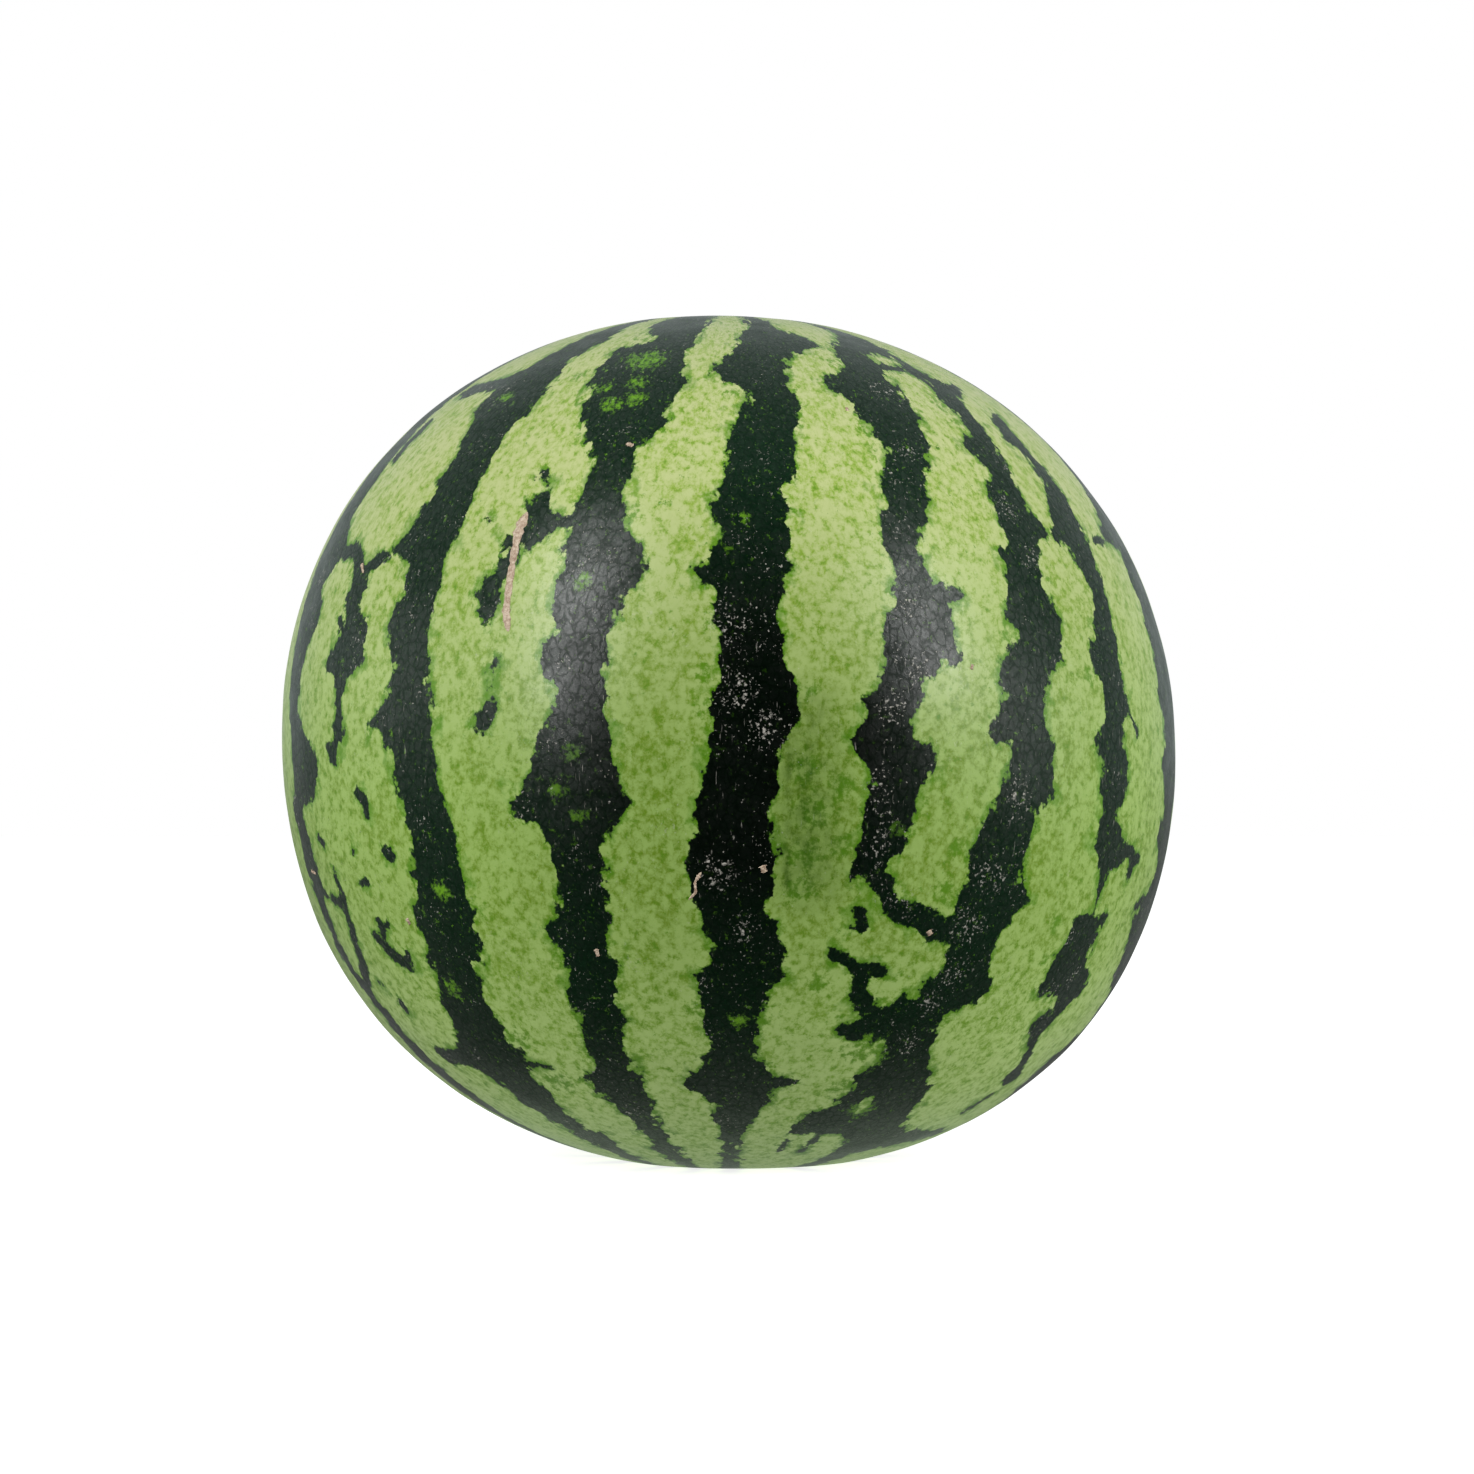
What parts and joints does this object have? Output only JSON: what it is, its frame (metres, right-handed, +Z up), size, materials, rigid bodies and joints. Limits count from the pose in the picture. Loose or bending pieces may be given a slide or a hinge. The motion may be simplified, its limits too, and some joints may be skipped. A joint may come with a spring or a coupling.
{
  "type": "watermelon",
  "caption": "Small round watermelon, whole, with a waxy rind in light green and dark green stripes, standing on a flat spot at its blossom end.",
  "frame": {"origin": "on the surface that the fruit stands on, under the middle of its box; it lies on the flat rest spot", "axes": "+Z up along the axis from blossom end to stem end; -Y is the front, the side with the corky scratch; +X is the fruit's right seen from the front"},
  "size_m": [0.2, 0.197, 0.188],
  "materials": {
    "rind": "waxy watermelon rind, between matt and gloss: light green with jagged dark green stripes from end to end"
  },
  "bodies": {
    "root": {"watermelon": "rind"}
  },
  "joints": []
}
